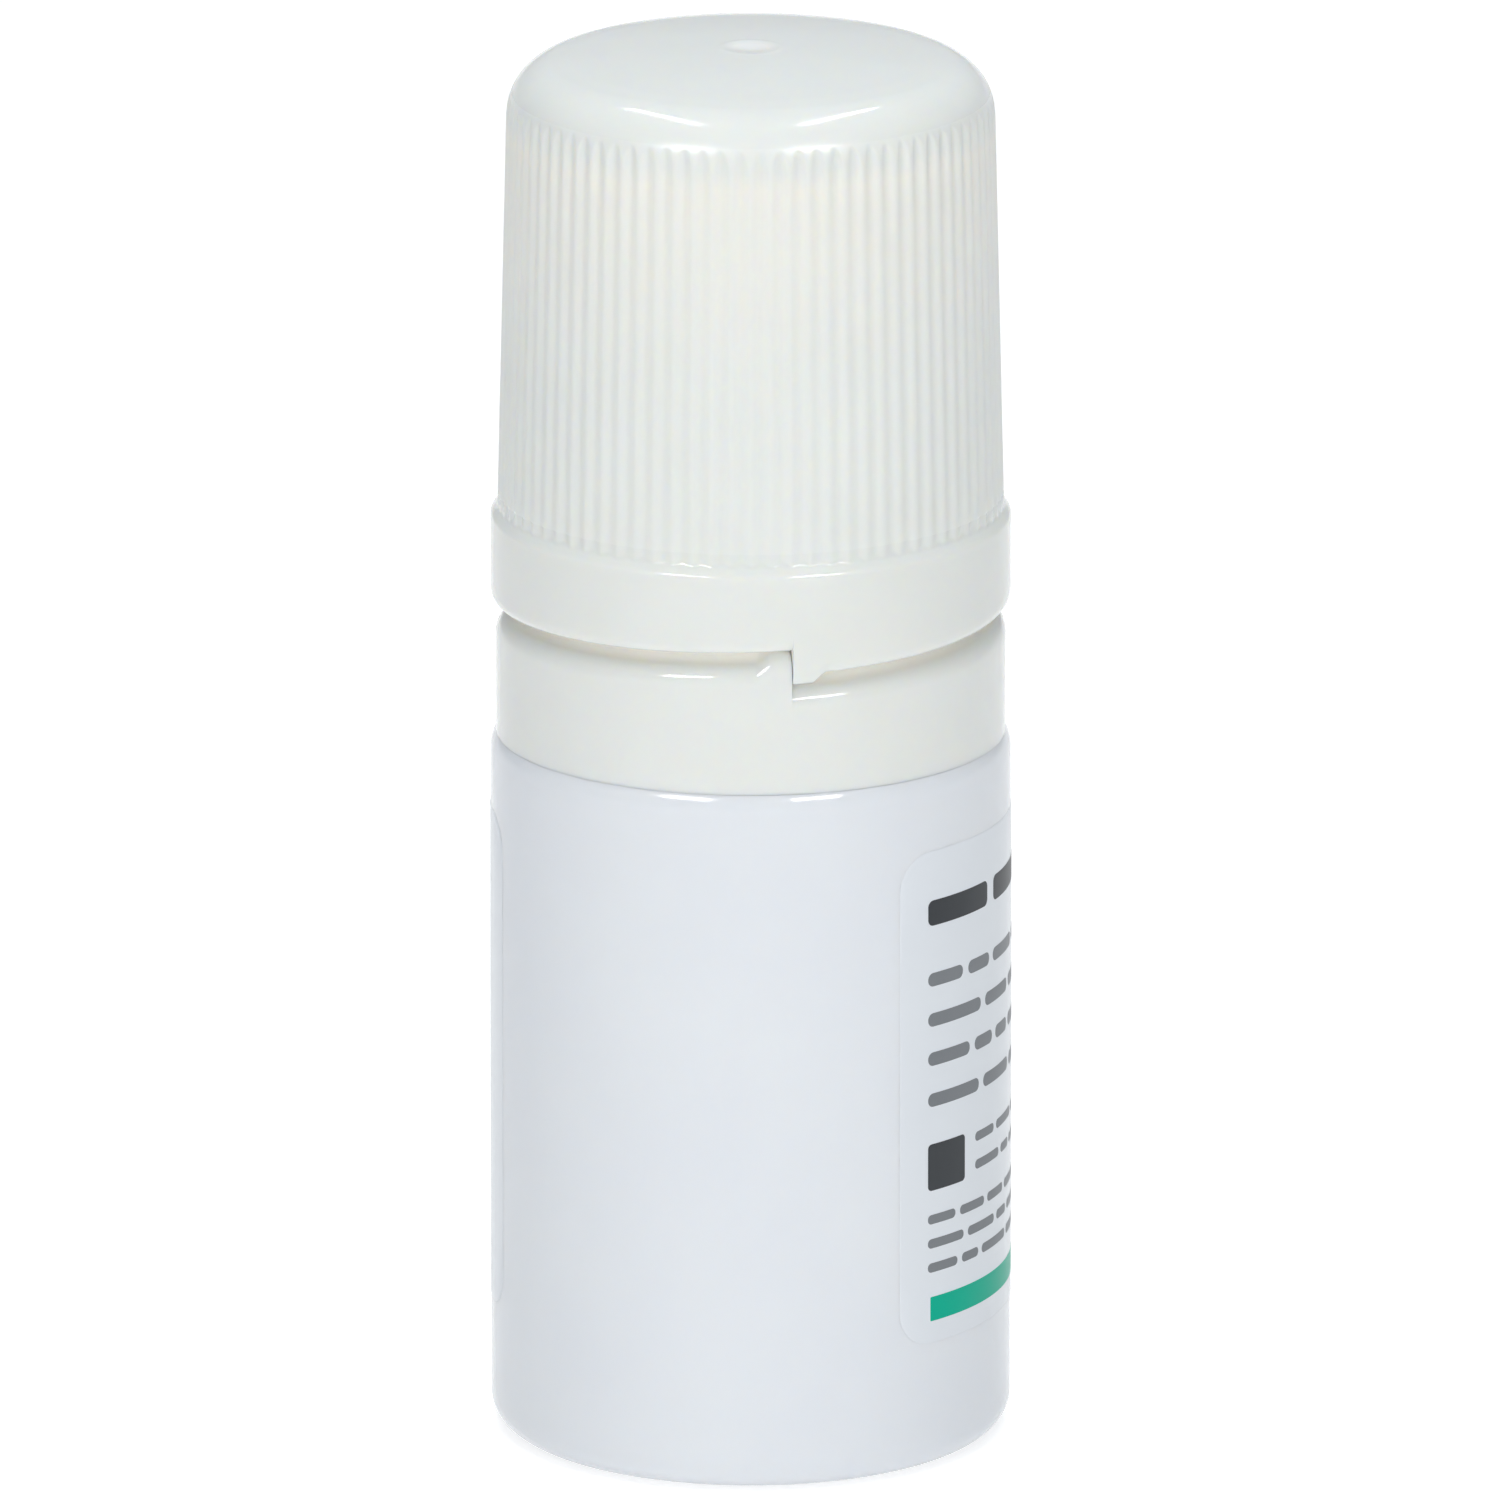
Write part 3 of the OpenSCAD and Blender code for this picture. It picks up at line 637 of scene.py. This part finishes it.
def make_seal():
    outline = seal_section()
    return spin_body("seal_plug", lambda angle: outline, even(SEAL_COLUMNS), INSERT_SHARP)


# Shader nodes

RANGE_SOCKETS = ("From Min", "From Max", "To Min", "To Max")


def calculated(tree, operation, *values):
    """The result of a Math node over sockets and plain numbers."""
    node = tree.nodes.new("ShaderNodeMath")
    node.operation = operation
    for socket, value in zip(node.inputs, values):
        if isinstance(value, (int, float)):
            socket.default_value = value
        else:
            tree.links.new(value, socket)
    return node.outputs[0]


def ranged(tree, value, low, high, to_low, to_high, step="LINEAR"):
    """The result of a Map Range node, which holds its ends."""
    node = tree.nodes.new("ShaderNodeMapRange")
    node.interpolation_type = step
    for name, number in zip(RANGE_SOCKETS, (low, high, to_low, to_high)):
        node.inputs[name].default_value = number
    tree.links.new(value, node.inputs["Value"])
    return node.outputs["Result"]


def rgb(r, g, b):
    """A colour written in sRGB from 0 to 255, as linear values."""
    out = []
    for v in (r, g, b):
        v /= 255
        out.append(v / 12.92 if v <= 0.04045 else ((v + 0.055) / 1.055) ** 2.4)
    return (*out, 1.0)


def grey(level):
    return (level, level, level, 1.0)


class Nodes:
    """A short way to build one material's node tree. Places are in millimetres."""

    def __init__(self, name):
        self.material = bpy.data.materials.new(name)
        self.material.use_nodes = True
        self.tree = self.material.node_tree
        self.shader = self.tree.nodes["Principled BSDF"].inputs
        self.place = self.tree.nodes.new("ShaderNodeTexCoord").outputs["Object"]

    def link(self, a, b):
        self.tree.links.new(a, b)

    def stretched(self, x, y, z):
        node = self.tree.nodes.new("ShaderNodeMapping")
        node.inputs["Scale"].default_value = (x, y, z)
        self.link(self.place, node.inputs["Vector"])
        return node.outputs["Vector"]

    def radius(self):
        """Distance from the bottle's axis, in metres."""
        node = self.tree.nodes.new("ShaderNodeVectorMath")
        node.operation = "LENGTH"
        self.link(self.stretched(1, 1, 0), node.inputs[0])
        return node.outputs["Value"]

    def height(self):
        """Height above the floor, in metres."""
        node = self.tree.nodes.new("ShaderNodeSeparateXYZ")
        self.link(self.place, node.inputs[0])
        return node.outputs["Z"]

    def within(self, r, over):
        """1 inside a radius, falling to 0 over a width."""
        return ranged(self.tree, self.radius(), r * MM, (r + over) * MM, 1, 0)

    def below(self, z, over):
        """1 below a height, falling to 0 over a width."""
        return ranged(self.tree, self.height(), z * MM, (z + over) * MM, 1, 0)

    def above(self, z, over):
        """0 below a height, rising to 1 over a width."""
        return ranged(self.tree, self.height(), z * MM, (z + over) * MM, 0, 1)

    def noise(self, scale, detail, rough, vector=None):
        node = self.tree.nodes.new("ShaderNodeTexNoise")
        node.inputs["Scale"].default_value = scale
        node.inputs["Detail"].default_value = detail
        node.inputs["Roughness"].default_value = rough
        self.link(vector or self.place, node.inputs["Vector"])
        return node.outputs["Fac"]

    def where(self, value, low, high, most=1):
        """How much of a layer shows: 0 up to a low value, the most from a high one on."""
        return ranged(self.tree, value, low, high, 0, most)

    def both(self, a, b):
        return calculated(self.tree, "MULTIPLY", a, b)

    def mix(self, factor, a, b):
        node = self.tree.nodes.new("ShaderNodeMix")
        node.data_type = "RGBA"
        self.link(factor, node.inputs["Factor"])
        for socket, colour in ((node.inputs["A"], a), (node.inputs["B"], b)):
            if isinstance(colour, tuple):
                socket.default_value = colour
            else:
                self.link(colour, socket)
        return node.outputs["Result"]

    def bump(self, height, strength, distance, under=None):
        node = self.tree.nodes.new("ShaderNodeBump")
        node.inputs["Strength"].default_value = strength
        node.inputs["Distance"].default_value = distance
        self.link(height, node.inputs["Height"])
        if under is not None:
            self.link(under, node.inputs["Normal"])
        return node.outputs["Normal"]


# Materials

# Noise scales, in waves for each metre, how strongly the relief shows, and what all plastics share
CLOUDS, SPECKS, RUBS, WAVES = 110, 900, 2600, 220
WAVE_STRENGTH, WAVE_DEPTH, GRAIN_STRENGTH = 0.12, 0.00003, 0.5
WORN_ROUGHER, PLASTIC_IOR, SUBSURFACE_SCALE = 0.06, 1.5, 0.0004

# Where the closure's gate tint, its painted gap shade and its rougher grip begin or end, each with
# the width of its edge
GATE_SPOT_R, GATE_SPOT_Z = (0.9, 0.5), (71.0, 1.0)
PAINTED_SHADE_R, PAINTED_SHADE_TOP_Z = (12.1, 0.7), (69.0, 1.0)
GRIP_LOW_Z, GRIP_TOP_Z = (49.6, 0.6), (70.5, 2.1)


def plastic(
    name, light, dark, rough, grain, depth, soft, glow=(1.0, 0.9, 0.75), specular=0.5,
    inside=None, gripped=None, gate=None,
):
    """Moulded plastic: cloudy tone, fine mould grain, slow flow waves, faint rub marks.

    Inside is painted shade: a warm tint on the walls in the gap between cap and collar, where the
    cap's edge shades them.
    Gripped is the roughness of the ribs, and gate the colour of the moulding gate's dimple."""
    n = Nodes(name)
    tone = n.mix(n.where(n.noise(CLOUDS, 4, 0.55), 0.3, 0.7), light, dark)
    tone = n.mix(n.where(n.noise(SPECKS, 3, 0.6), 0.72, 0.9, 0.35), tone, dark)
    if gate:
        tone = n.mix(n.both(n.within(*GATE_SPOT_R), n.above(*GATE_SPOT_Z)), tone, gate)
    # The inside tint is painted shade: the warm yellow tone of the shaded gap under the cap's edge,
    # laid on the closure within 12.1 mm of the axis and below 69 mm
    if inside:
        tone = n.mix(n.both(n.within(*PAINTED_SHADE_R), n.below(*PAINTED_SHADE_TOP_Z)), tone, inside)
    n.link(tone, n.shader["Base Color"])
    rubs = n.noise(RUBS, 2, 0.5, n.stretched(1, 1, 0.06))
    worn = n.mix(n.where(rubs, 0.55, 0.8, 0.4), grey(rough), grey(rough + WORN_ROUGHER))
    if gripped:
        worn = n.mix(n.both(n.above(*GRIP_LOW_Z), n.below(*GRIP_TOP_Z)), worn, grey(gripped))
    n.link(worn, n.shader["Roughness"])
    waves = n.bump(n.noise(WAVES, 2, 0.4), WAVE_STRENGTH, WAVE_DEPTH)
    n.link(n.bump(n.noise(grain, 3, 0.6), GRAIN_STRENGTH, depth, waves), n.shader["Normal"])
    n.shader["IOR"].default_value = PLASTIC_IOR
    n.shader["Specular IOR Level"].default_value = specular
    if soft:
        n.shader["Subsurface Weight"].default_value = soft
        n.shader["Subsurface Radius"].default_value = glow
        n.shader["Subsurface Scale"].default_value = SUBSURFACE_SCALE
    return n.material


def ink(name, light, dark, rough):
    return plastic(name, light, dark, rough, 5200, 0.000002, 0, specular=0.1)


MATERIALS = {
    # The closure's inside colour is painted shade, a warm tint for the gap under the cap's edge
    "closure_plastic": plastic(
        "ivory_closure", rgb(240, 243, 241), rgb(237, 240, 237), 0.09, 6500, 0.0000012, 0.7,
        glow=(1.0, 0.84, 0.6), specular=0.25, inside=(1.0, 0.96, 0.87, 1.0), gripped=0.36,
        gate=(1.0, 0.99, 0.95, 1.0),
    ),
    "bottle_plastic": plastic(
        "cool_white_bottle", rgb(237, 241, 247), rgb(234, 238, 245), 0.11, 5200, 0.0000015, 0.4,
        glow=(0.8, 0.9, 1.0), specular=0.25,
    ),
    "label_film": plastic(
        "label_film", rgb(235, 240, 246), rgb(233, 238, 245), 0.22, 3200, 0.000002, 0,
        specular=0.25,
    ),
    "dropper_plastic": plastic(
        "white_dropper", rgb(240, 242, 243), rgb(235, 238, 240), 0.3, 7000, 0.00001, 0.15
    ),
    "seal_elastomer": plastic(
        "soft_grey_seal", rgb(205, 208, 209), rgb(192, 196, 198), 0.62, 4200, 0.00002, 0.1
    ),
    "insert_plastic": plastic(
        "plain_insert", rgb(236, 238, 238), rgb(229, 232, 232), 0.4, 6000, 0.00001, 0.1
    ),
    "pad_foam": plastic(
        "sintered_pad", rgb(238, 238, 235), rgb(205, 206, 203), 0.85, 1800, 0.00012, 0.1
    ),
    "membrane_film": plastic(
        "fine_membrane", rgb(244, 245, 244), rgb(232, 234, 234), 0.7, 9000, 0.00003, 0.1
    ),
    "stripe_ink": ink("green_ink", rgb(0, 184, 154), rgb(0, 178, 148), 0.32),
    "heading_ink": ink("dark_ink", rgb(74, 77, 81), rgb(66, 69, 73), 0.36),
    "line_ink": ink("grey_ink", rgb(136, 140, 145), rgb(128, 132, 137), 0.36),
}


# The pieces in the frame


def painted(obj, material):
    obj.data.materials.clear()
    obj.data.materials.append(MATERIALS[material])


def place(obj, body, slot, material, *nodes):
    painted(obj, material)
    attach(obj, body)
    if nodes:
        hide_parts(*nodes)


place(make_bottle(), "container", "bottle_plastic", "bottle_plastic", "bottle")
place(make_label(), "container", "label_film", "label_film", "label")
place(make_stripe(), "container", "label_film", "stripe_ink")
place(make_heading(), "container", "label_film", "heading_ink")
place(make_print(), "container", "label_film", "line_ink")
place(make_collar(), "container", "closure_plastic", "closure_plastic", "collar")
place(make_dropper(), "container", "dropper_plastic", "dropper_plastic", "dropper_tip")
place(make_seal(), "seal_plug", "seal_elastomer", "seal_elastomer", "tip_seal")
place(make_cap(), "screw_cap", "closure_plastic", "closure_plastic", "cap")
painted(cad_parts["filter_housing"], "insert_plastic")
painted(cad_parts["porous_pad"], "pad_foam")
painted(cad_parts["filter_membrane"], "membrane_film")


# The floor, the light and the camera, in metres

FLOOR_HALF, FLOOR_BASE, FLOOR_GLOW, FLOOR_SPILL = 6.0, 0.65, 0.6, 0.25
WORLD_FRONT, WORLD_SIDES, WORLD_BACK, WORLD_IN_GLOSS = 0.15, 0.03, 0.72, 0.7
WORLD_TINT, WORLD_DEPTH, WORLD_ASIDE = (0.965, 0.985, 1.01, 1), (-0.9, 0.5), (0.45, 0.95)
KEY, STRIP, BAR, TOP = 1.28, 4.2, 1.8, 3.3
WARM, PLAIN, COOL = (1.0, 0.985, 0.955), (1.0, 1.0, 1.0), (0.93, 0.98, 1.0)

# Lamps: azimuth from the front, elevation and distance, or two ends, and the box's two sizes
KEY_AT, KEY_SIZE = (19, 9, 0.75), (0.4, 0.4)
STRIP_AT, STRIP_SIZE = (31, 30, 0.75), (0.27, 0.1)
BAR_FRONT, BAR_BACK, BAR_SIZE = (0.184, -0.04, 0.776), (0.248, 0.392, 0.648), (0.46, 0.04)
TOP_AT, TOP_SIZE = (0, 82, 0.8), (0.6, 0.6)
LAMP_TURN, LAMP_AIM = 32, Vector((0, 0, 0.04))

CAMERA_ELEVATION, CAMERA_DISTANCE, LENS, SENSOR = 15.5, 1.2, 556.97, 36
CAMERA_CENTRE, CAMERA_AIM = Vector((0, 0, 0.037)), Vector((-0.00004, 0, 0.03607))


def seen_directly(tree):
    """1 for what the camera sees, straight on or in gloss or through glass."""
    path = tree.nodes.new("ShaderNodeLightPath").outputs
    indirect = calculated(tree, "MAXIMUM", path["Is Glossy Ray"], path["Is Transmission Ray"])
    return calculated(tree, "MAXIMUM", path["Is Camera Ray"], indirect)


def floor_material():
    """White where it is seen, with a weaker glow for the light that it throws back."""
    material = bpy.data.materials.new("floor_white")
    material.use_nodes = True
    tree = material.node_tree
    shader = tree.nodes["Principled BSDF"]
    shader.inputs["Base Color"].default_value = grey(FLOOR_BASE)
    shader.inputs["Roughness"].default_value = 0.9
    shader.inputs["Specular IOR Level"].default_value = 0.1
    glow = tree.nodes.new("ShaderNodeEmission")
    more = FLOOR_GLOW - FLOOR_SPILL
    strength = calculated(tree, "MULTIPLY_ADD", seen_directly(tree), more, FLOOR_SPILL)
    tree.links.new(strength, glow.inputs["Strength"])
    both = tree.nodes.new("ShaderNodeAddShader")
    tree.links.new(shader.outputs[0], both.inputs[0])
    tree.links.new(glow.outputs[0], both.inputs[1])
    tree.links.new(both.outputs[0], tree.nodes["Material Output"].inputs["Surface"])
    return material


def make_floor():
    s = FLOOR_HALF
    mesh = bpy.data.meshes.new("floor")
    mesh.from_pydata([(-s, -s, 0), (s, -s, 0), (s, s, 0), (-s, s, 0)], [], [(0, 1, 2, 3)])
    mesh.materials.append(floor_material())
    floor = bpy.data.objects.new("floor", mesh)
    bpy.context.scene.collection.objects.link(floor)


def world_level(tree, glossy):
    """Strength of the world's light: brightest from behind, darkest from the two sides."""
    split = tree.nodes.new("ShaderNodeSeparateXYZ")
    where = tree.nodes.new("ShaderNodeTexCoord")
    tree.links.new(where.outputs["Generated"], split.inputs[0])
    y, x = split.outputs["Y"], calculated(tree, "ABSOLUTE", split.outputs["X"])
    depth = ranged(tree, y, *WORLD_DEPTH, WORLD_FRONT, WORLD_BACK, "SMOOTHSTEP")
    aside = ranged(tree, x, *WORLD_ASIDE, 1, WORLD_SIDES / WORLD_FRONT, "SMOOTHSTEP")
    level = calculated(tree, "MULTIPLY", depth, aside)
    shine = ranged(tree, glossy, 0, 1, 1, WORLD_IN_GLOSS)
    return calculated(tree, "MULTIPLY", level, shine)


def make_world():
    """A soft studio round the bottle, and plain white where the camera sees past it."""
    world = bpy.data.worlds.new("studio")
    bpy.context.scene.world = world
    world.use_nodes = True
    tree = world.node_tree
    path = tree.nodes.new("ShaderNodeLightPath").outputs
    studio = tree.nodes["Background"]
    studio.inputs["Color"].default_value = WORLD_TINT
    tree.links.new(world_level(tree, path["Is Glossy Ray"]), studio.inputs["Strength"])
    white = tree.nodes.new("ShaderNodeBackground")
    white.inputs["Color"].default_value = grey(1)
    white.inputs["Strength"].default_value = 1.0
    mix = tree.nodes.new("ShaderNodeMixShader")
    tree.links.new(path["Is Camera Ray"], mix.inputs[0])
    tree.links.new(studio.outputs[0], mix.inputs[1])
    tree.links.new(white.outputs[0], mix.inputs[2])
    tree.links.new(mix.outputs[0], tree.nodes["World Output"].inputs["Surface"])


def lamp(name, spot, along, size, power, colour, lit=True, shine=True):
    """A soft box aimed at the middle of the bottle. Its width runs along a direction."""
    data = bpy.data.lights.new(name, "AREA")
    data.shape = "RECTANGLE"
    data.size, data.size_y = size
    data.energy = power
    data.color = colour
    obj = bpy.data.objects.new(name, data)
    bpy.context.scene.collection.objects.link(obj)
    out = spot.normalized()
    side = (along - out * along.dot(out)).normalized()
    turn = Matrix((side, out.cross(side), out)).transposed()
    obj.matrix_world = Matrix.LocRotScale(LAMP_AIM + spot, turn.to_quaternion(), None)
    obj.visible_camera = False
    obj.visible_diffuse = lit
    obj.visible_glossy = shine


def seen_at(azimuth, elevation, distance):
    """A place by its azimuth from the front towards +X, its elevation and its distance."""
    a, e = math.radians(azimuth), math.radians(elevation)
    return distance * Vector((math.sin(a) * math.cos(e), -math.cos(a) * math.cos(e), math.sin(e)))


def mirrored(side, spot):
    """The same place for side 1, and its mirror image across the middle for side -1."""
    x, y, z = spot
    return Vector((side * x, y, z))


def make_lamps():
    """Boxes that light the walls, strips and bars that show only in gloss, and a top box."""
    turn = math.radians(LAMP_TURN)
    for side, tag in ((-1, "left"), (1, "right")):
        around = Vector((math.cos(turn), side * math.sin(turn), 0))
        box = mirrored(side, seen_at(*KEY_AT))
        strip = mirrored(side, seen_at(*STRIP_AT))
        front, back = mirrored(side, BAR_FRONT), mirrored(side, BAR_BACK)
        lamp(tag + "_box", box, around, KEY_SIZE, KEY, WARM, shine=False)
        lamp(tag + "_strip", strip, around, STRIP_SIZE, STRIP, PLAIN, lit=False)
        lamp(tag + "_bar", (front + back) / 2, back - front, BAR_SIZE, BAR, PLAIN, lit=False)
    lamp("top_box", seen_at(*TOP_AT), Vector((1, 0, 0)), TOP_SIZE, TOP, COOL, shine=False)


def make_camera():
    data = bpy.data.cameras.new("camera")
    data.sensor_width, data.lens = SENSOR, LENS
    data.clip_start, data.clip_end = 0.1, 20
    obj = bpy.data.objects.new("camera", data)
    bpy.context.scene.collection.objects.link(obj)
    obj.location = CAMERA_CENTRE + seen_at(0, CAMERA_ELEVATION, CAMERA_DISTANCE)
    obj.rotation_mode = "QUATERNION"
    obj.rotation_quaternion = (CAMERA_AIM - obj.location).to_track_quat("-Z", "Y")
    bpy.context.scene.camera = obj


make_floor()
make_world()
make_lamps()
make_camera()
bpy.context.scene.view_settings.view_transform = "Standard"
